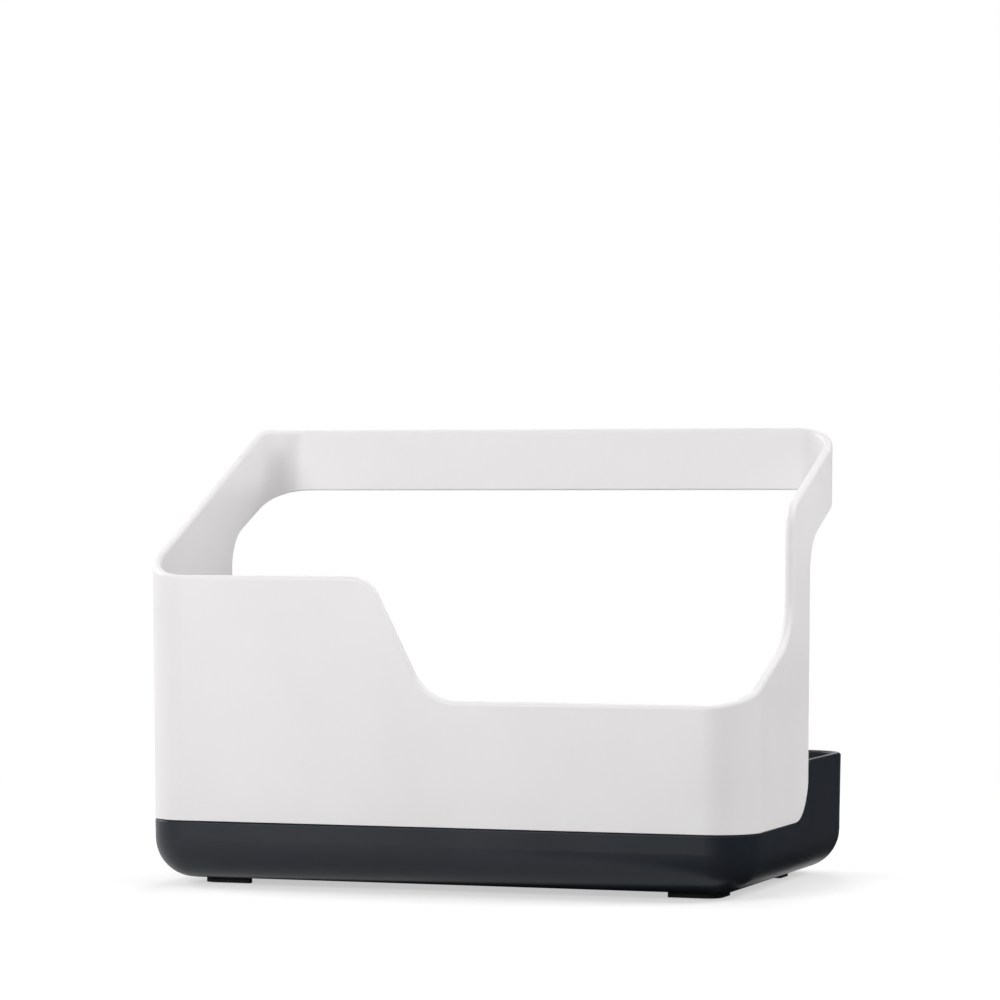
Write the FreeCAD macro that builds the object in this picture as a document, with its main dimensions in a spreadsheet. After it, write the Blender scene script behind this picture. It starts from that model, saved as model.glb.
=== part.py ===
import FreeCAD, Part
import math
import os

import Sketcher

# Kitchen sink caddy: a thin-walled holder with a stepped rim, two arms and a towel rail, standing on a
# drip tray that rises behind it as an open trough, on four anti-slip pads.
# +X is to the right, +Y to the back and +Z up; the origin is under the middle of the tray, on the table.

Vector = FreeCAD.Vector

doc = FreeCAD.newDocument("SinkCaddy")

# Driving sizes in millimetres and degrees
SIZES = {
    # Whole caddy, seen from above at the seam between tray and holder
    "caddy_width": 200,
    "plan_corner": 14,
    # Tray, with heights above its underside
    "tray_depth": 122.4,
    "tray_height": 18.9,
    "trough_height": 37.6,
    "tray_wall": 2.6,
    "tray_floor": 2.6,
    "tray_draft": 1.1,
    "tray_bottom_round": 13,
    "tray_rim_chamfer": 0.6,
    "trough_corner": 3,
    # Seam between tray and holder
    "seam_bend": 15,
    "seam_gap": 0.3,
    # Holder, with reaches back from the front face and rises above the seam; the rail rises from the high rim
    "holder_wall": 2.8,
    "holder_floor": 2.6,
    "holder_draft": 0.54,
    "holder_depth": 69.7,
    "back_rise": 28,
    "low_rim_rise": 39.2,
    "high_rim_rise": 77.6,
    "rail_top_rise": 47.5,
    "rail_height": 20.5,
    "rail_reach": 109.6,
    "post_front_reach": 48.2,
    "rim_land": 0.2,
    "edge_chamfer": 0.4,
    # Slopes and rounds of the rim
    "step_offset": 13,
    "step_angle": 63.5,
    "step_top_round": 10,
    "step_foot_round": 16,
    "low_rim_angle": 21.4,
    "left_rail_land": 9.8,
    "arm_angle": 23.2,
    "post_foot_round": 18.5,
    "post_head_round": 10,
    "arm_under_round": 14,
    "left_rail_round": 10,
    # Drain slots in the holder's floor
    "slot_width": 4,
    "slot_length": 34,
    "slot_pitch": 14,
    "slot_margin": 22,
    # Locating skirt under the holder
    "skirt_depth": 4,
    "skirt_wall": 2,
    "skirt_clearance": 0.5,
    # Anti-slip pads
    "foot_height": 2,
    "foot_width": 16.3,
    "foot_length": 12.8,
    "foot_tip": 2.1,
    "foot_corner": 4.5,
    "foot_recess": 0.6,
    "foot_clearance": 0.2,
    "foot_side_margin": 0.8,
    "foot_front_margin": 3,
    "foot_rear_margin": 7.6,
    # How far a cut runs past the wall that it trims
    "cut_past": 20,
}

sheet = doc.addObject("Spreadsheet::Sheet", "Sizes")
for row, (alias, amount) in enumerate(SIZES.items(), start=1):
    sheet.set(f"A{row}", alias)
    sheet.set(f"B{row}", str(amount))
    sheet.setAlias(f"B{row}", alias)
doc.recompute()

# Places worked out from the driving sizes
places = doc.addObject("App::VarSet", "Places")


def place(name, formula):
    """Adds a worked-out number; the formula reads the sheet as Sizes and earlier numbers as Places."""
    places.addProperty("App::PropertyFloat", name)
    places.setExpression(name, formula)


place("half_width", "Sizes.caddy_width / 2")
place("corner_x", "Places.half_width - Sizes.plan_corner")
place("front_y", "-Sizes.tray_depth / 2")
place("rear_y", "Sizes.tray_depth / 2")

place("tray_z", "Sizes.foot_height")
place("seam_z", "Places.tray_z + Sizes.tray_height")
place("trough_z", "Places.tray_z + Sizes.trough_height")
place("low_z", "Places.seam_z + Sizes.low_rim_rise")
place("high_z", "Places.seam_z + Sizes.high_rim_rise")
place("rail_z", "Places.high_z + Sizes.rail_top_rise")
place("rail_under_z", "Places.rail_z - Sizes.rail_height")
place("back_z", "Places.seam_z + Sizes.back_rise")

# The tray narrows towards its underside
place("tray_lean", "Sizes.tray_height * tan(Sizes.tray_draft)")
place("tray_low_x", "Places.half_width - Places.tray_lean")
place("tray_low_front_y", "Places.front_y + Places.tray_lean")
place("tray_low_rear_y", "Places.rear_y - Places.tray_lean")
place("tray_low_corner", "Sizes.plan_corner - Places.tray_lean")
place("tray_round", "min(Sizes.tray_bottom_round; Places.tray_low_corner - Sizes.rim_land)")
place("tray_floor_z", "Places.tray_z + Sizes.tray_floor")
place("tray_inset", "Places.tray_lean + Sizes.tray_wall - Sizes.tray_floor * tan(Sizes.tray_draft)")
place("tray_inner_x", "Places.half_width - Places.tray_inset")
place("tray_inner_front_y", "Places.front_y + Places.tray_inset")
place("tray_inner_rear_y", "Places.rear_y - Places.tray_inset")
place("tray_inner_corner", "Sizes.plan_corner - Places.tray_inset")
place("tray_inner_most", "Places.tray_inner_corner - Sizes.rim_land")
place("tray_inner_round", "min(Places.tray_round - Sizes.tray_wall; Places.tray_inner_most)")

# The trough's front edge leaves room for the bend at the foot of the holder's rear wall
place("bend_room", "Sizes.trough_height - Sizes.tray_height - Sizes.trough_corner - Sizes.rim_land")
place("bend", "min(Sizes.seam_bend; Places.bend_room)")

# The holder's walls lean outwards as they rise; they are drawn from a root below the seam and cut at it
place("lean", "tan(Sizes.holder_draft)")
place("root_z", "Places.seam_z - Sizes.holder_wall")
place("root_lean", "Sizes.holder_wall * Places.lean")
place("root_x", "Places.half_width - Places.root_lean")
place("root_front_y", "Places.front_y + Places.root_lean")
place("root_corner", "Sizes.plan_corner - Places.root_lean")
place("ring_rise", "Places.rail_z - Places.root_z")
place("root_rear_y", "Places.front_y + Sizes.rail_reach - Places.ring_rise * Places.lean")
place("low_front_y", "Places.front_y - Sizes.low_rim_rise * Places.lean")
place("high_front_y", "Places.front_y - Sizes.high_rim_rise * Places.lean")
place("rail_rear_y", "Places.front_y + Sizes.rail_reach")
place("rail_under_rear_y", "Places.rail_rear_y - Sizes.rail_height * Places.lean")
place("back_y", "Places.front_y + Sizes.holder_depth")
place("back_inner_y", "Places.back_y - Sizes.holder_wall")
place("post_front_y", "Places.front_y + Sizes.post_front_reach")
place("rim_round", "(Sizes.holder_wall - Sizes.rim_land) / 2")

# Corners of the rim where its slopes would meet if they were not rounded
place("low_slope", "tan(Sizes.low_rim_angle)")
place("arm_slope", "tan(Sizes.arm_angle)")
place("post_foot_z", "Places.low_z + (Places.post_front_y - Places.low_front_y) * Places.low_slope")
place("post_head_z", "Places.rail_z - (Places.rail_rear_y - Places.post_front_y) * Places.arm_slope")
place("arm_under_z", "Places.rail_under_z - (Places.rail_under_rear_y - Places.back_y) * Places.arm_slope")
place("left_rail_y", "Places.rail_rear_y - Sizes.left_rail_land")
place("step_run", "(Sizes.high_rim_rise - Sizes.low_rim_rise) / tan(Sizes.step_angle)")
place("step_top_x", "-Sizes.step_offset - Places.step_run / 2")
place("step_foot_x", "-Sizes.step_offset + Places.step_run / 2")

# The floor and the rear wall end half way into the wall round them
place("pan_inset", "Sizes.holder_wall / 2")
place("pan_x", "Places.half_width - Places.pan_inset")
place("pan_front_y", "Places.front_y + Places.pan_inset")
place("pan_corner", "Sizes.plan_corner - Places.pan_inset")
place("floor_top_z", "Places.seam_z + Sizes.holder_floor")
place("pan_rise", "Places.rail_z - Places.seam_z")
place("inner_bend", "max(Places.bend - Sizes.holder_wall; Places.rim_round)")
doc.recompute()


def number(name):
    """The worked-out number of that name."""
    return getattr(places, name)


def size(name):
    """The driving size of that name."""
    return getattr(sheet, name)


def value(formula):
    """Reads a name, or a sum of names and signs such as front_y - cut_past."""
    total = 0.0
    sign = 1
    for word in formula.replace("-", " - ").replace("+", " + ").split():
        if word == "-":
            sign = -1
        elif word == "+":
            sign = 1
        else:
            total += sign * (size(word) if word in SIZES else number(word))
            sign = 1
    return total


def bound(formula):
    """The same sum as an expression that follows the sheet."""
    words = formula.replace("-", " - ").replace("+", " + ").split()
    full = [word if word in "+-" else ("Sizes." if word in SIZES else "Places.") + word for word in words]
    return " ".join(full)


# Sketches

PLANES = {
    "XY_Plane": FreeCAD.Rotation(),
    "XZ_Plane": FreeCAD.Rotation(Vector(1, 0, 0), 90),
    "YZ_Plane": FreeCAD.Rotation(Vector(0, 1, 0), Vector(0, 0, 1), Vector(1, 0, 0), "ZXY"),
}


NORMALS = {"XY_Plane": ("z", ""), "XZ_Plane": ("y", "-"), "YZ_Plane": ("x", "")}


def new_sketch(name, plane, offset=None, body=None):
    """A sketch on one of the main planes, moved along that plane's normal by the offset."""
    if body is None:
        sketch = doc.addObject("Sketcher::SketchObject", name)
        sketch.Placement = FreeCAD.Placement(Vector(), PLANES[plane])
        if offset:
            axis, sign = NORMALS[plane]
            sketch.setExpression(f"Placement.Base.{axis}", f"{sign}({bound(offset)})")
        return sketch
    sketch = body.newObject("Sketcher::SketchObject", name)
    support = [part for part in body.Origin.OriginFeatures if part.Role == plane][0]
    sketch.AttachmentSupport = [(support, "")]
    sketch.MapMode = "FlatFace"
    if offset:
        sketch.setExpression("AttachmentOffset.Base.z", bound(offset))
    return sketch


def corner_point(sketch, across, up):
    """A construction point tied to two worked-out places; returns its number in the sketch."""
    start = Vector(value(across), value(up), 0)
    point = sketch.addGeometry(Part.Point(start), True)
    for kind, formula, at in (("DistanceX", across, start.x), ("DistanceY", up, start.y)):
        tie = sketch.addConstraint(Sketcher.Constraint(kind, point, 1, at))
        sketch.setExpression(f"Constraints[{tie}]", bound(formula))
    return point


def outline(sketch, corners):
    """A closed outline of straight runs. Each corner is (across, up, radius or None), as names."""
    spots = [Vector(value(across), value(up), 0) for across, up, radius in corners]
    points = [corner_point(sketch, across, up) for across, up, radius in corners]
    arcs = []
    ends = []
    for index, (across, up, radius) in enumerate(corners):
        here = spots[index]
        to_last = (spots[index - 1] - here).normalize()
        to_next = (spots[(index + 1) % len(spots)] - here).normalize()
        if radius is None:
            arcs.append(None)
            ends.append((here, here))
            continue
        half = to_last.getAngle(to_next) / 2
        reach = value(radius) / math.tan(half)
        centre = here + (to_last + to_next).normalize() * (value(radius) / math.sin(half))
        first = here + to_last * reach
        last = here + to_next * reach
        turn = to_last.cross(to_next).z
        angles = [math.atan2(spot.y - centre.y, spot.x - centre.x) for spot in (first, last)]
        if turn > 0:
            angles.reverse()
        circle = Part.Circle(centre, Vector(0, 0, 1), value(radius))
        arc = sketch.addGeometry(Part.ArcOfCircle(circle, angles[0], angles[1]), False)
        # An arc runs anticlockwise, so where the outline turns left it starts beside the corner before
        arcs.append((arc, (1, 2) if turn < 0 else (2, 1), radius))
        ends.append((first, last))
    lines = []
    for index in range(len(corners)):
        after = (index + 1) % len(corners)
        line = Part.LineSegment(ends[index][1], ends[after][0])
        lines.append(sketch.addGeometry(line, False))
    for index in range(len(corners)):
        into = lines[index - 1]
        out = lines[index]
        if arcs[index] is None:
            sketch.addConstraint(Sketcher.Constraint("Coincident", into, 2, out, 1))
            sketch.addConstraint(Sketcher.Constraint("Coincident", points[index], 1, out, 1))
            continue
        arc, (arc_in, arc_out), radius = arcs[index]
        sketch.addConstraint(Sketcher.Constraint("PointOnObject", points[index], 1, into))
        sketch.addConstraint(Sketcher.Constraint("PointOnObject", points[index], 1, out))
        sketch.addConstraint(Sketcher.Constraint("Tangent", into, 2, arc, arc_in))
        sketch.addConstraint(Sketcher.Constraint("Tangent", out, 1, arc, arc_out))
        tie = sketch.addConstraint(Sketcher.Constraint("Radius", arc, value(radius)))
        sketch.setExpression(f"Constraints[{tie}]", bound(radius))
    return sketch


def rounded_rectangle(sketch, half_width, front, rear, radius):
    """A rectangle about the Y axis with four equal rounded corners."""
    corners = [(f"-{half_width}", front), (half_width, front), (half_width, rear), (f"-{half_width}", rear)]
    return outline(sketch, [(across, up, radius) for across, up in corners])


# Features

def new_body(name):
    """A PartDesign body whose label names the sub-part."""
    body = doc.addObject("PartDesign::Body", name)
    body.Label = name
    return body


def pad(body, name, sketch, length, taper=None):
    """Raises the sketch along its normal."""
    feature = body.newObject("PartDesign::Pad", name)
    feature.Profile = sketch
    feature.setExpression("Length", bound(length))
    if taper:
        feature.setExpression("TaperAngle", taper)
    doc.recompute()
    return feature


def pocket(body, name, sketch, length=None, upward=True, taper=None):
    """Cuts the sketch upwards or downwards by a length, or right through both ways."""
    feature = body.newObject("PartDesign::Pocket", name)
    feature.Profile = sketch
    if length:
        feature.setExpression("Length", bound(length))
        feature.Reversed = upward
    else:
        feature.Type = "ThroughAll"
        feature.SideType = "Symmetric"
    if taper:
        feature.setExpression("TaperAngle", taper)
    doc.recompute()
    return feature


def fillet(body, name, edges, radius):
    """Rounds the edges of the body's last feature."""
    feature = body.newObject("PartDesign::Fillet", name)
    feature.Base = (feature.BaseFeature, edges)
    feature.setExpression("Radius", bound(radius))
    doc.recompute()
    return feature


def chamfer(body, name, edges, width):
    """Bevels the edges of the body's last feature."""
    feature = body.newObject("PartDesign::Chamfer", name)
    feature.Base = (feature.BaseFeature, edges)
    feature.setExpression("Size", bound(width))
    doc.recompute()
    return feature


def edge_names(shape, wanted):
    """Names of the shape's edges that pass the test."""
    return [f"Edge{index}" for index, edge in enumerate(shape.Edges, start=1) if wanted(edge)]


def at_height(height):
    """A test for edges that lie level at that height."""
    near = 1e-4

    def wanted(edge):
        box = edge.BoundBox
        return abs(box.ZMin - height) < near and abs(box.ZMax - height) < near
    return wanted


def square_edges(shape, above, clear_of=None):
    """Names of the edges above a height where two faces meet about square, as along a wall's rim.

    Edges within a wall of the shape to be clear of are left out.
    """
    least = math.radians(60)
    most = math.radians(120)

    def wanted(edge):
        faces = shape.ancestorsOfType(edge, Part.Face)
        if edge.BoundBox.ZMax < above or len(faces) != 2:
            return False
        middle = edge.valueAt((edge.FirstParameter + edge.LastParameter) / 2)
        if clear_of and Part.Vertex(middle).distToShape(clear_of)[0] < size("holder_wall"):
            return False
        normals = [face.normalAt(*face.Surface.parameter(middle)) for face in faces]
        return least < normals[0].getAngle(normals[1]) < most
    return edge_names(shape, wanted)


# Skirt and drain slots under the holder

place("skirt_inset", "Sizes.tray_wall + Sizes.skirt_clearance")
place("skirt_x", "Places.half_width - Places.skirt_inset")
place("skirt_inner_x", "Places.skirt_x - Sizes.skirt_wall")
place("skirt_front_y", "Places.front_y + Places.skirt_inset")
place("skirt_rear_y", "Places.back_y - Places.bend")
place("skirt_corner", "Sizes.plan_corner - Places.skirt_inset")
place("slot_room", "Sizes.caddy_width - 2 * Sizes.slot_margin - Sizes.slot_width")
place("slot_count", "floor(Places.slot_room / Sizes.slot_pitch) + 1")
place("slot_span", "(Places.slot_count - 1) * Sizes.slot_pitch")
place("slot_first_x", "-(Places.slot_span + Sizes.slot_width) / 2")
place("slot_front_y", "(Places.skirt_front_y + Places.skirt_rear_y - Sizes.slot_length) / 2")

# Anti-slip pads: rounded corner wedges, let into the underside of the tray

place("foot_outer_x", "Places.tray_low_x - Places.tray_round - Sizes.foot_side_margin")
place("foot_front_y", "Places.tray_low_front_y + Places.tray_round + Sizes.foot_front_margin")
place("foot_rear_y", "Places.tray_low_rear_y - Places.tray_round - Sizes.foot_rear_margin")
place("foot_top_z", "Places.tray_z + Sizes.foot_recess")
doc.recompute()

FEET = {
    "front_left_foot": ("-foot_outer_x", "+", "foot_front_y", "+"),
    "front_right_foot": ("foot_outer_x", "-", "foot_front_y", "+"),
    "rear_left_foot": ("-foot_outer_x", "+", "foot_rear_y", "-"),
    "rear_right_foot": ("foot_outer_x", "-", "foot_rear_y", "-"),
}


def foot_corners(outer_x, inward, outer_y, along, room=None):
    """Corners of a pad; with room, of the recess that takes it."""
    away_x = "-" if inward == "+" else "+"
    away_y = "-" if along == "+" else "+"
    grow_x = f"{away_x}{room}" if room else ""
    grow_y = f"{away_y}{room}" if room else ""
    back_x = f"{inward}{room}" if room else ""
    back_y = f"{along}{room}" if room else ""
    corners = [
        (f"{outer_x}{grow_x}", f"{outer_y}{grow_y}", "foot_corner"),
        (f"{outer_x}{inward}foot_width{back_x}", f"{outer_y}{grow_y}", None),
        (f"{outer_x}{inward}foot_width{back_x}", f"{outer_y}{along}foot_tip{back_y}", None),
        (f"{outer_x}{inward}foot_tip{back_x}", f"{outer_y}{along}foot_length{back_y}", None),
        (f"{outer_x}{grow_x}", f"{outer_y}{along}foot_length{back_y}", None),
    ]
    return corners if inward == along else corners[::-1]


def make_foot(name, corner):
    body = new_body(name)
    sketch = new_sketch(f"{name}_outline", "XY_Plane", body=body)
    outline(sketch, foot_corners(*corner))
    pad(body, f"{name}_pad", sketch, "foot_top_z")
    return body


feet = [make_foot(name, corner) for name, corner in FEET.items()]

# Drip tray: low in front, where the holder stands on its rim, and high behind as an open trough

def make_tray():
    body = new_body("base_tray")

    plan = new_sketch("tray_plan", "XY_Plane", "tray_z", body)
    rounded_rectangle(plan, "tray_low_x", "tray_low_front_y", "tray_low_rear_y", "tray_low_corner")
    pad(body, "tray_block", plan, "trough_height", "Sizes.tray_draft")

    hollow_plan = new_sketch("tray_hollow_plan", "XY_Plane", "tray_floor_z", body)
    rounded_rectangle(hollow_plan, "tray_inner_x", "tray_inner_front_y", "tray_inner_rear_y",
                      "tray_inner_corner")
    hollow = pocket(body, "tray_hollow", hollow_plan, "trough_height", True, "Sizes.tray_draft")
    floor_edges = edge_names(hollow.Shape, at_height(number("tray_floor_z")))
    inside = fillet(body, "tray_inside", floor_edges, "tray_inner_round")
    fillet(body, "tray_underside", edge_names(inside.Shape, at_height(number("tray_z"))), "tray_round")

    # The front is cut down to the seam; the cut sweeps up behind the holder to the trough's rim
    front_cut = new_sketch("tray_front_cut", "YZ_Plane", None, body)
    outline(front_cut, [
        ("front_y - cut_past", "seam_z", None),
        ("back_y + seam_gap", "seam_z", "bend"),
        ("back_y + seam_gap", "trough_z", "trough_corner"),
        ("rear_y", "trough_z", None),
        ("rear_y", "trough_z + cut_past", None),
        ("front_y - cut_past", "trough_z + cut_past", None),
    ])
    seam = pocket(body, "tray_seam", front_cut)
    chamfer(body, "tray_rim", square_edges(seam.Shape, value("seam_z - rim_land")), "tray_rim_chamfer")

    recesses = new_sketch("foot_recesses", "XY_Plane", "tray_z", body)
    for corner in FEET.values():
        outline(recesses, foot_corners(*corner, "foot_clearance"))
    pocket(body, "foot_seats", recesses, "foot_recess", True)
    return body


tray = make_tray()

# Holder: one thin wall that runs round the front and sides and sweeps up into the arms and the rail.
# Its outer skin is drawn and trimmed to the rim, then thickened inwards.


def trim_tool(name, sketch, length, both_ways=False, reverse=False):
    """A solid that trims the skin, raised from a sketch."""
    tool = doc.addObject("Part::Extrusion", name)
    tool.Base = sketch
    tool.DirMode = "Normal"
    tool.Solid = True
    tool.Symmetric = both_ways
    tool.Reversed = reverse
    tool.setExpression("LengthFwd", bound(length))
    return tool


def raised_plan(name, plan, length, solid):
    """An outline raised so that it leans outwards, as the moulding's draft does."""
    raised = doc.addObject("Part::Extrusion", name)
    raised.Base = plan
    raised.DirMode = "Normal"
    raised.Solid = solid
    raised.setExpression("LengthFwd", bound(length))
    raised.setExpression("TaperAngle", "Sizes.holder_draft")
    return raised


def make_skin(plan):
    """The holder's outer skin, trimmed to the rim."""
    skin = raised_plan("holder_skin", plan, "ring_rise", False)

    # Below the rail and behind the posts
    behind = outline(new_sketch("behind_profile", "YZ_Plane"), [
        ("back_y", "root_z - cut_past", None),
        ("back_y", "arm_under_z", "arm_under_round"),
        ("rail_under_rear_y", "rail_under_z", None),
        ("rail_under_rear_y + cut_past", "rail_under_z", None),
        ("rail_under_rear_y + cut_past", "root_z - cut_past", None),
    ])
    # Above the left side, which climbs in one line from the high rim to the rail
    left = outline(new_sketch("left_profile", "YZ_Plane", "-corner_x"), [
        ("high_front_y - cut_past", "high_z", None),
        ("high_front_y", "high_z", None),
        ("left_rail_y", "rail_z", "left_rail_round"),
        ("rail_rear_y + cut_past", "rail_z", None),
        ("rail_rear_y + cut_past", "rail_z + cut_past", None),
        ("high_front_y - cut_past", "rail_z + cut_past", None),
    ])
    # Above the right side, which climbs from the low rim to a post and leans back into the arm
    right = outline(new_sketch("right_profile", "YZ_Plane", "corner_x"), [
        ("low_front_y - cut_past", "low_z", None),
        ("low_front_y", "low_z", None),
        ("post_front_y", "post_foot_z", "post_foot_round"),
        ("post_front_y", "post_head_z", "post_head_round"),
        ("rail_rear_y", "rail_z", None),
        ("rail_rear_y + cut_past", "rail_z", None),
        ("rail_rear_y + cut_past", "rail_z + cut_past", None),
        ("low_front_y - cut_past", "rail_z + cut_past", None),
    ])
    # Above the front, which steps down from the high rim to the low one
    front = outline(new_sketch("front_profile", "XZ_Plane", "cut_past - front_y"), [
        ("-corner_x", "high_z", None),
        ("step_top_x", "high_z", "step_top_round"),
        ("step_foot_x", "low_z", "step_foot_round"),
        ("corner_x", "low_z", None),
        ("corner_x", "rail_z + cut_past", None),
        ("-corner_x", "rail_z + cut_past", None),
    ])
    tools = [
        trim_tool("behind_trim", behind, "caddy_width + cut_past", both_ways=True),
        trim_tool("left_trim", left, "plan_corner + cut_past", reverse=True),
        trim_tool("right_trim", right, "plan_corner + cut_past"),
        trim_tool("front_trim", front, "plan_corner + cut_past", reverse=True),
    ]
    for tool in tools:
        trimmed = doc.addObject("Part::Cut", tool.Name + "med")
        trimmed.Base = skin
        trimmed.Tool = tool
        skin = trimmed
    return skin


def make_wall(plan):
    """The skin thickened inwards, its rim rounded over, its rear edges bevelled, cut to stand on the tray."""
    thick = doc.addObject("Part::Offset", "holder_thick_wall")
    thick.Source = make_skin(plan)
    thick.setExpression("Value", "-Sizes.holder_wall")
    thick.Fill = True
    doc.recompute()
    wall = doc.addObject("PartDesign::Body", "holder_wall_body")
    wall.BaseFeature = thick
    doc.recompute()
    above = value("seam_z + rim_land")
    rims = square_edges(thick.Shape, above, clear_of=doc.behind_trim.Shape)
    rounded = fillet(wall, "holder_rim", rims, "rim_round")
    chamfer(wall, "holder_back_edges", square_edges(rounded.Shape, above), "edge_chamfer")

    seat = outline(new_sketch("seat_profile", "YZ_Plane"), [
        ("front_y - cut_past", "seam_z", None),
        ("back_y", "seam_z", "bend"),
        ("back_y", "trough_z", None),
        ("back_y + cut_past", "trough_z", None),
        ("back_y + cut_past", "seam_z - cut_past", None),
        ("front_y - cut_past", "seam_z - cut_past", None),
    ])
    seated = doc.addObject("Part::Cut", "holder_seated_wall")
    seated.Base = wall
    seated.Tool = trim_tool("seat_trim", seat, "caddy_width + cut_past", both_ways=True)
    doc.recompute()
    return seated


def make_pan():
    """Floor, bend and low rear wall in one, cut from a block that leans as the wall does."""
    plan = new_sketch("pan_plan", "XY_Plane", "seam_z")
    rounded_rectangle(plan, "pan_x", "pan_front_y", "rear_y", "pan_corner")
    block = raised_plan("pan_block", plan, "pan_rise", True)
    profile = outline(new_sketch("pan_profile", "YZ_Plane"), [
        ("front_y - cut_past", "seam_z", None),
        ("back_y", "seam_z", "bend"),
        ("back_y", "back_z", "rim_round"),
        ("back_inner_y", "back_z", "rim_round"),
        ("back_inner_y", "floor_top_z", "inner_bend"),
        ("front_y - cut_past", "floor_top_z", None),
    ])
    pan = doc.addObject("Part::Common", "holder_pan")
    pan.Base = trim_tool("pan_bar", profile, "caddy_width + cut_past", both_ways=True)
    pan.Tool = block
    doc.recompute()
    return pan


def make_holder():
    plan = new_sketch("holder_plan", "XY_Plane", "root_z")
    rounded_rectangle(plan, "root_x", "root_front_y", "root_rear_y", "root_corner")
    shell = doc.addObject("Part::MultiFuse", "holder_shell")
    shell.Shapes = [make_wall(plan), make_pan()]
    shell.Refine = True
    doc.recompute()

    body = new_body("caddy_body")
    body.BaseFeature = shell
    doc.recompute()

    # A skirt under the floor drops inside the tray's rim and keeps the holder from sliding off
    skirt = new_sketch("skirt_plan", "XY_Plane", "seam_z - skirt_depth", body)
    rounded_rectangle(skirt, "skirt_x", "skirt_front_y", "skirt_rear_y", "skirt_corner")
    rounded_rectangle(skirt, "skirt_inner_x", "skirt_front_y + skirt_wall", "skirt_rear_y - skirt_wall",
                      "skirt_corner - skirt_wall")
    pad(body, "skirt", skirt, "skirt_depth")

    # Drain slots let water through into the tray
    slot = new_sketch("slot_plan", "XY_Plane", "floor_top_z", body)
    outline(slot, [
        ("slot_first_x", "slot_front_y", None),
        ("slot_first_x + slot_width", "slot_front_y", None),
        ("slot_first_x + slot_width", "slot_front_y + slot_length", None),
        ("slot_first_x", "slot_front_y + slot_length", None),
    ])
    first = pocket(body, "first_slot", slot, "holder_floor", upward=False)
    row = body.newObject("PartDesign::LinearPattern", "slot_row")
    row.Originals = [first]
    row.Direction = (slot, ["H_Axis"])
    row.setExpression("Length", "Places.slot_span")
    row.setExpression("Occurrences", "Places.slot_count")
    body.Tip = row
    doc.recompute()
    return body


holder = make_holder()

subparts = feet + [tray, holder]
for made in doc.Objects:
    if "Invalid" in made.State or "Error" in made.State:
        raise RuntimeError(f"{made.Name} failed: {made.State}")
for made in subparts:
    if made.Shape.isNull() or not made.Shape.isValid() or len(made.Shape.Solids) != 1:
        raise RuntimeError(f"{made.Label} is not one valid solid")

os.makedirs("parts", exist_ok=True)
for made in subparts:
    made.Shape.exportStep(os.path.join("parts", f"{made.Label}.step"))
    box = made.Shape.BoundBox
    print(f"{made.Label}: {box.XLength:.1f} x {box.YLength:.1f} x {box.ZLength:.1f} mm, "
          f"{made.Shape.Volume / 1000:.1f} cm3")
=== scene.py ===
# %% [markdown]
# A kitchen sink caddy on a white table
# The caddy is two thin plastic mouldings and four rubber pads. The white holder has a rim that climbs in
# one sweep from its low right end to a rail at the back, and it stands on a dark stepped tray that
# catches drips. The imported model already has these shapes, rounded edges and all, so no mesh is rebuilt
# here. What is left is what a solid model doesn't know: how satin plastic and rubber take the light, and
# the studio round them.

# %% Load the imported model
import bpy
import math
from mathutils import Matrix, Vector


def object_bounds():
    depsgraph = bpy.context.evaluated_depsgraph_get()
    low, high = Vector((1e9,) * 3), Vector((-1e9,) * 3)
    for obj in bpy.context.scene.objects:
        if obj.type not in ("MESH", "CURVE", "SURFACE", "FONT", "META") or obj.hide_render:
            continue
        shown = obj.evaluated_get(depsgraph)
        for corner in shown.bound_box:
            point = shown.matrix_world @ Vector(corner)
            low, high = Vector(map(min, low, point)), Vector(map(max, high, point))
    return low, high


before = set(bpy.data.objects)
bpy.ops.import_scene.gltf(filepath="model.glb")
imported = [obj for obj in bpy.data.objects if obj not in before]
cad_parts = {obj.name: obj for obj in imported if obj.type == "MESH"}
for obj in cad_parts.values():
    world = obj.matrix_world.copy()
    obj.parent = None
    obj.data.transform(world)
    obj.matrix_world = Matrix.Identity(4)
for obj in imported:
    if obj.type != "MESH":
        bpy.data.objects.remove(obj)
cad_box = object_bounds()
scene = bpy.context.scene
scene.view_settings.view_transform = "Standard"

MM = 0.001
low, high = (Vector(corner) for corner in cad_box)
middle = (low + high) / 2
size = high - low
print("caddy, width by depth by height in mm:", [round(side / MM, 1) for side in size])
for name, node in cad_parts.items():
    print(name, "has", len(node.data.polygons), "faces")

# %% [markdown]
# The camera
# The picture was taken level, from a little to the right and from about the height of the rail's lower
# edge, through a long lens. A level camera keeps upright walls upright. A short lens close by could frame
# the caddy too, but its near corner would swell, so the camera stays well back and the long lens does the
# framing.

# %% Camera at the photograph's angle
CAMERA_PLACE = Vector((0.42986, -1.24051, 0.12224))
CAMERA_TURN = math.radians(19.138)
LEVEL = math.radians(90)
LENS_MM = 146.037
SENSOR_MM = 36.0
CLIP_START = 10 * MM


def make_camera():
    data = bpy.data.cameras.new("photo_camera")
    data.sensor_width = SENSOR_MM
    data.lens = LENS_MM
    data.clip_start = CLIP_START
    data.dof.use_dof = False
    made = bpy.data.objects.new("photo_camera", data)
    made.location = CAMERA_PLACE
    made.rotation_euler = (LEVEL, 0, CAMERA_TURN)
    scene.collection.objects.link(made)
    return made


camera = make_camera()
scene.camera = camera
print("camera to caddy, in mm:", round((camera.location - middle).length / MM))

# %% [markdown]
# How a moulded surface is described
# A moulding copies the skin of its steel mould. That skin is eroded by sparks into fine pits, a quarter
# of a millimetre or so across, which turn a mirror into satin. The plastic also cools unevenly as it
# flows, so gloss and tone drift a little over a few centimetres. Both could be painted as images, but the
# pits would need a huge image. Noise textures in the object's own coordinates do it at any distance and
# stay on the piece when it moves. A few helpers keep the recipes short: each adds a node or two and hands
# on what comes out.


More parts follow.
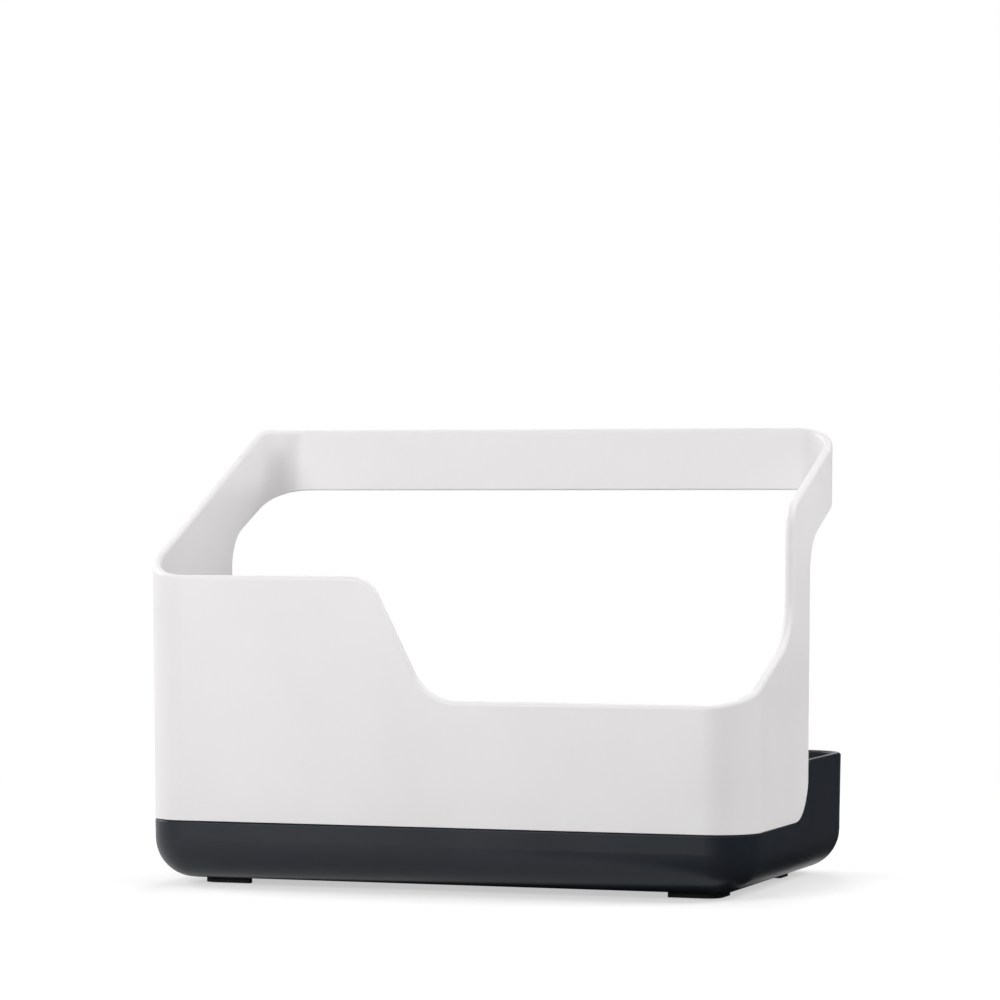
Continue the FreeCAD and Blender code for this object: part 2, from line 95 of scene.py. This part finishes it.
# %% Helpers for shader nodes
def new_material(name):
    """A new node material, with its tree and the Principled shader that it starts with."""
    made = bpy.data.materials.new(name)
    made.use_nodes = True
    return made, made.node_tree, made.node_tree.nodes["Principled BSDF"]


def add(tree, kind, values=None, **settings):
    """Add one node, with the values of its sockets by name and its settings by keyword."""
    made = tree.nodes.new(kind)
    for key, setting in settings.items():
        setattr(made, key, setting)
    for socket, amount in (values or {}).items():
        made.inputs[socket].default_value = amount
    return made


def noise(tree, width, detail):
    """Noise whose blotches are about this wide, in metres, and stay on the piece."""
    place = add(tree, "ShaderNodeTexCoord")
    made = add(tree, "ShaderNodeTexNoise", {"Scale": 1 / width, "Detail": detail})
    tree.links.new(place.outputs["Object"], made.inputs["Vector"])
    return made.outputs["Fac"]


def spread(tree, source, start, end, lowest, highest):
    """Map the range from start to end of a source onto the range from lowest to highest."""
    values = {"From Min": start, "From Max": end, "To Min": lowest, "To Max": highest}
    made = add(tree, "ShaderNodeMapRange", values)
    tree.links.new(source, made.inputs["Value"])
    return made.outputs["Result"]


def blend_colours(tree, factor, first, second):
    """Mix two colours by a factor from other nodes."""
    made = add(tree, "ShaderNodeMix", data_type="RGBA")
    made.inputs["A"].default_value = (*first, 1)
    made.inputs["B"].default_value = (*second, 1)
    tree.links.new(factor, made.inputs["Factor"])
    return made.outputs["Result"]


NOISE_LOW = 0.35
NOISE_HIGH = 0.65
print("noise is used between", NOISE_LOW, "and", NOISE_HIGH, "where nearly all of its values lie")

# %% [markdown]
# One recipe for both plastics
# The holder and the tray are the same kind of moulding in two colours, so one function makes both. It
# takes the two ends of the tone drift, the two ends of the roughness drift, the width and depth of the
# pits, and how strongly the skin mirrors. A wide noise drives both drifts, and a fine one the pits.
#
# No edge of a moulding is knife sharp. The large rounds are in the mesh. The Bevel node bends the normal
# over the last third of a millimetre, so that the small edges catch a thread of light too.

# %% Moulded plastic
EDGE_ROUND = 0.3 * MM
EDGE_SAMPLES = 4
FLOW_WIDTH = 45 * MM
FLOW_DETAIL = 2.0
PIT_DETAIL = 1.0
BUMP_STRENGTH = 1.0


def bump(tree, height, depth):
    """A bump of this depth, in metres, from the heights of a noise."""
    made = add(tree, "ShaderNodeBump", {"Strength": BUMP_STRENGTH, "Distance": depth})
    tree.links.new(height, made.inputs["Height"])
    return made


def moulded_plastic(name, tones, roughness, pits, specular):
    made, tree, shader = new_material(name)
    shader.inputs["Specular IOR Level"].default_value = specular
    flow = spread(tree, noise(tree, FLOW_WIDTH, FLOW_DETAIL), NOISE_LOW, NOISE_HIGH, 0, 1)
    tree.links.new(blend_colours(tree, flow, *tones), shader.inputs["Base Color"])
    tree.links.new(spread(tree, flow, 0, 1, *roughness), shader.inputs["Roughness"])
    pit_width, pit_depth = pits
    skin = bump(tree, noise(tree, pit_width, PIT_DETAIL), pit_depth)
    edge = add(tree, "ShaderNodeBevel", {"Radius": EDGE_ROUND}, samples=EDGE_SAMPLES)
    tree.links.new(edge.outputs["Normal"], skin.inputs["Normal"])
    tree.links.new(skin.outputs["Normal"], shader.inputs["Normal"])
    return made


print("tone drifts over", round(FLOW_WIDTH / MM), "mm")
print("edges are softened over", round(EDGE_ROUND / MM, 1), "mm")

# %% [markdown]
# The white of the holder
# White plastic in a white room is easily overdone. A base colour near 1 would send back all the light and
# the rims would burn out, so the white is kept at about four fifths, as white pigment really is. It is a
# neutral white with a trace of pink, which is what keeps it from looking like blue-white paper.

# %% Holder material
WHITE_TONES = ((0.79, 0.775, 0.78), (0.82, 0.806, 0.811))
WHITE_ROUGHNESS = (0.34, 0.42)
WHITE_PITS = (0.25 * MM, 0.004 * MM)
WHITE_SPECULAR = 0.5
holder_white = moulded_plastic("holder_white", WHITE_TONES, WHITE_ROUGHNESS, WHITE_PITS, WHITE_SPECULAR)
print("holder tones", WHITE_TONES)

# %% [markdown]
# The slate of the tray
# Dark plastic shows little colour of its own: most of what is seen on it is the room, mirrored at a few
# per cent. So the base is almost black with a trace of blue. The skin is about as smooth as the holder's,
# but its pits are coarser and it mirrors less. At the usual specular level its right end, which is seen
# at a flat angle, would turn pale.

# %% Tray material
SLATE_TONES = ((0.0115, 0.0145, 0.0205), (0.0145, 0.018, 0.0245))
SLATE_ROUGHNESS = (0.32, 0.4)
SLATE_PITS = (0.35 * MM, 0.01 * MM)
SLATE_SPECULAR = 0.3
tray_slate = moulded_plastic("tray_slate", SLATE_TONES, SLATE_ROUGHNESS, SLATE_PITS, SLATE_SPECULAR)
print("tray tones", SLATE_TONES)

# %% [markdown]
# The rubber of the pads
# The four pads keep the tray from sliding and let air under it. Soft rubber has hardly any gloss, and
# dust lodges in its pores as paler specks. Fine noise, cut off high, gives the specks, and the same noise
# uncut gives the pores.

# %% Pad material
RUBBER_TONE = (0.04, 0.04, 0.042)
RUBBER_ROUGHNESS = (0.72, 0.9)
RUBBER_SPECULAR = 0.1
PORE_WIDTH = 0.5 * MM
PORE_DEPTH = 0.03 * MM
PORE_DETAIL = 3.0
DUST_TONE = (0.085, 0.085, 0.088)
DUST_START = 0.58
DUST_WHOLE = 0.72


def pad_material():
    made, tree, shader = new_material("pad_rubber")
    shader.inputs["Specular IOR Level"].default_value = RUBBER_SPECULAR
    pores = noise(tree, PORE_WIDTH, PORE_DETAIL)
    dust = spread(tree, pores, DUST_START, DUST_WHOLE, 0, 1)
    tree.links.new(blend_colours(tree, dust, RUBBER_TONE, DUST_TONE), shader.inputs["Base Color"])
    drift = spread(tree, pores, NOISE_LOW, NOISE_HIGH, *RUBBER_ROUGHNESS)
    tree.links.new(drift, shader.inputs["Roughness"])
    skin = bump(tree, pores, PORE_DEPTH)
    tree.links.new(skin.outputs["Normal"], shader.inputs["Normal"])
    return made


pad_rubber = pad_material()
print("pad tones", (RUBBER_TONE, DUST_TONE))

# %% [markdown]
# Each piece gets its finish
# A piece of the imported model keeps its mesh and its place. Only its list of materials is changed: the
# plain one that it came with goes, and its finish comes in. The holder and the tray have their own, and
# what is left are the pads, which share theirs.

# %% Finishes on the pieces
FINISHES = {"caddy_body": holder_white, "base_tray": tray_slate}
for name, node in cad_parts.items():
    node.data.materials.clear()
    node.data.materials.append(FINISHES.get(name, pad_rubber))
    print(name, "is finished in", node.data.materials[0].name)

# %% [markdown]
# What the eye sees and what only carries light
# The picture's ground is pure white. More light would bleach the floor and the caddy with it, so the
# light stays plain, and floor and background get a glow that only the eye sees. The Light Path node tells
# the rays apart: the eye follows those from the camera, and those that went on from it by way of a
# reflection or through glass. All other rays only carry light from one surface to the next, and to them
# the glow isn't there.


# %% Rays that the eye follows
def join(tree, operation, first, second):
    """One Math node on two sources."""
    made = add(tree, "ShaderNodeMath", operation=operation)
    tree.links.new(first, made.inputs[0])
    tree.links.new(second, made.inputs[1])
    return made.outputs[0]


def seen(tree):
    """One for rays that the eye follows: straight, mirrored or through glass."""
    rays = add(tree, "ShaderNodeLightPath").outputs
    mirrored = join(tree, "MAXIMUM", rays["Is Glossy Ray"], rays["Is Transmission Ray"])
    return join(tree, "MAXIMUM", rays["Is Camera Ray"], mirrored)


WHITE_GLOW = 1.0
print("a glow of", WHITE_GLOW, "is white to the eye")

# %% [markdown]
# A floor that is white but keeps its shadow
# Near the caddy the floor is grey paper with a glow of about a half. Light and glow together come out
# white. Where the caddy shades the floor, the glow alone isn't enough, and the shadow stays. Further out
# the glow takes over, so that floor and background meet without a horizon. A floor of plain white paper
# would need so much light that the caddy would burn out on it.

# %% Floor material
FLOOR_WHITE = 0.5
FLOOR_GLOW = 0.52
GLOW_START = 0.22
GLOW_WHOLE = 0.5


def grey(level):
    return (level, level, level, 1)


def floor_material():
    made, tree, shader = new_material("floor_white")
    tree.nodes.remove(shader)
    eye = seen(tree)
    paper = add(tree, "ShaderNodeBsdfDiffuse", {"Color": grey(FLOOR_WHITE)})
    glow = add(tree, "ShaderNodeEmission")
    tree.links.new(spread(tree, eye, 0, 1, 0, FLOOR_GLOW), glow.inputs["Strength"])
    near = add(tree, "ShaderNodeAddShader")
    tree.links.new(paper.outputs[0], near.inputs[0])
    tree.links.new(glow.outputs[0], near.inputs[1])
    place = add(tree, "ShaderNodeTexCoord")
    away = add(tree, "ShaderNodeVectorMath", operation="LENGTH")
    tree.links.new(place.outputs["Object"], away.inputs[0])
    far = spread(tree, away.outputs["Value"], GLOW_START, GLOW_WHOLE, 0, 1)
    beyond = add(tree, "ShaderNodeEmission", {"Strength": WHITE_GLOW})
    both = add(tree, "ShaderNodeMixShader")
    tree.links.new(join(tree, "MULTIPLY", eye, far), both.inputs["Fac"])
    tree.links.new(near.outputs[0], both.inputs[1])
    tree.links.new(beyond.outputs[0], both.inputs[2])
    tree.links.new(both.outputs[0], tree.nodes["Material Output"].inputs["Surface"])
    return made


floor_white = floor_material()
print("floor glow", FLOOR_GLOW, "up to", GLOW_START, "m, whole from", GLOW_WHOLE, "m out")

# %% [markdown]
# The floor itself
# One large square is enough, because the glow hides its edges. The floor and the cards below are the
# studio and no part of the caddy.

# %% Floor
FLOOR_REACH = 4.0


def stage_mesh(name, points, faces, material):
    mesh = bpy.data.meshes.new(name)
    mesh.from_pydata(points, [], faces)
    made = bpy.data.objects.new(name, mesh)
    scene.collection.objects.link(made)
    made.data.materials.append(material)
    return made


corners = [(x * FLOOR_REACH, y * FLOOR_REACH, 0) for x, y in ((-1, -1), (1, -1), (1, 1), (-1, 1))]
stage_mesh("floor", corners, [range(len(corners))], floor_white)
print("floor", 2 * FLOOR_REACH, "m square")

# %% [markdown]
# White surroundings
# The world does two jobs. As light it is a weak, even fill, which keeps the shaded sides from going
# black. To the eye it is plain white, seen straight or in a reflection, as a paper backdrop would be. A
# real backdrop mesh would do as well, but it would need a bend and light of its own.

# %% World
WORLD_FILL = 0.12


def make_world():
    made = bpy.data.worlds.new("studio")
    made.use_nodes = True
    tree = made.node_tree
    fill = tree.nodes["Background"]
    fill.inputs["Color"].default_value = grey(1)
    fill.inputs["Strength"].default_value = WORLD_FILL
    white = add(tree, "ShaderNodeBackground", {"Color": grey(1), "Strength": WHITE_GLOW})
    both = add(tree, "ShaderNodeMixShader")
    tree.links.new(seen(tree), both.inputs["Fac"])
    tree.links.new(fill.outputs[0], both.inputs[1])
    tree.links.new(white.outputs[0], both.inputs[2])
    tree.links.new(both.outputs[0], tree.nodes["World Output"].inputs["Surface"])
    return made


scene.world = make_world()
print("world", WORLD_FILL, "as light,", WHITE_GLOW, "to the eye")

# %% [markdown]
# A black wall for a pale object
# In an all white room a white object loses its form and a dark one turns grey. Photographers stand black
# cards round the set, out of the picture. The largest here is a curved wall, open behind the caddy where
# the camera looks. The camera doesn't see it and it casts no shadow, but reflections show it, and it
# holds back the fill that would come from low down. It is a run of flat panels, which is round enough for
# a blurred reflection.

# %% Black wall
WALL_RADIUS = 2.6
WALL_HEIGHT = 2.2
WALL_START_DEGREES = 155
WALL_END_DEGREES = 455
PANEL_DEGREES = 10
CARD_GREY = 0.02
CARD_ROUGHNESS = 1.0


def card_material():
    made, _, shader = new_material("card_black")
    shader.inputs["Base Color"].default_value = grey(CARD_GREY)
    shader.inputs["Roughness"].default_value = CARD_ROUGHNESS
    return made


def black_card(name, points, faces):
    made = stage_mesh(name, points, faces, card_black)
    made.visible_camera = False
    made.visible_shadow = False
    return made


def wall_points():
    """The foot and the top of each upright edge of the wall, in turn."""
    for turn in range(WALL_START_DEGREES, WALL_END_DEGREES + 1, PANEL_DEGREES):
        x = WALL_RADIUS * math.cos(math.radians(turn))
        y = WALL_RADIUS * math.sin(math.radians(turn))
        yield from ((x, y, 0), (x, y, WALL_HEIGHT))


card_black = card_material()
upright = list(wall_points())
panels = [(foot, foot + 2, foot + 3, foot + 1) for foot in range(0, len(upright) - 2, 2)]
black_card("card_wall", upright, panels)
print("black wall of", len(panels), "panels")

# %% [markdown]
# Two black cards on the floor
# The tray's upright faces mirror the floor, which is white. A card at the front right, cut on a slant,
# lets the front of the tray darken slowly towards its right end and keeps that end dark. A smaller one
# under the tray darkens its rounded lower edge. The light on the caddy shouldn't change for that, so
# these two are there for reflections alone. They meet in one point under the front right corner, so that
# no bright spot shows on it.

# %% Black floor cards
CARD_LIFT = 0.2 * MM
CARD_TUCK = 6 * MM
CARD_GAP = 80 * MM
CARD_LEFT = -0.05
UNDER_TUCK = 14 * MM


def floor_card(name, outline):
    """A flat card just above the floor, seen by reflections alone."""
    points = [(x, y, CARD_LIFT) for x, y in outline]
    made = black_card(name, points, [range(len(points))])
    made.visible_diffuse = False
    print(name, "has", len(points), "corners")


side = high.x - CARD_TUCK
front = low.y + CARD_TUCK
outer = [(CARD_LEFT, -WALL_RADIUS), (WALL_RADIUS, -WALL_RADIUS), (WALL_RADIUS, WALL_RADIUS)]
inner = [(side, WALL_RADIUS), (side, front), (CARD_LEFT, front - CARD_GAP)]
floor_card("card_floor", outer + inner)
left = low.x + UNDER_TUCK
right = high.x - UNDER_TUCK
floor_card("card_under", [(left, low.y + UNDER_TUCK), (side, front), (right, high.y), (left, high.y)])

# %% [markdown]
# Five soft boxes
# The front is the brightest upright face, the right end a little darker and the rims lightest. So one box
# stands in front on the left and one on the right, and a weak one overhead lights the rims. The box on
# the left draws the thin bright line down the left corner, and the one behind keeps the back from going
# grey. The boxes on the right and behind are hidden from reflections, where they would burn out the edges
# of the rim.
#
# The level of a box is the tone of a white card at the caddy that faces it. Its power follows from that,
# by the square of its distance, so a box can be moved without a new guess.


# %% Soft boxes
def soft_box(name, place, width, level, mirrored):
    data = bpy.data.lights.new(name, "AREA")
    data.shape = "SQUARE"
    data.size = width
    made = bpy.data.objects.new(name, data)
    made.location = Vector(place)
    aim = middle - made.location
    data.energy = level * math.pi ** 2 * aim.length_squared
    made.rotation_euler = aim.to_track_quat("-Z", "Y").to_euler()
    made.visible_camera = False
    made.visible_glossy = mirrored
    scene.collection.objects.link(made)
    print(name, "at", round(aim.length, 2), "m,", round(data.energy, 1), "W")


soft_box("box_front", place=(-0.3, -1.05, 0.45), width=0.65, level=0.7, mirrored=True)
soft_box("box_right", place=(0.9, 0.2, 0.57), width=0.6, level=0.8, mirrored=False)
soft_box("box_top", place=(0, 0.1, 1.2), width=1.0, level=0.25, mirrored=True)
soft_box("box_left", place=(-0.9, 0.2, 0.5), width=0.5, level=0.5, mirrored=True)
soft_box("box_rear", place=(-0.28, 1.1, 0.7), width=0.4, level=0.33, mirrored=False)
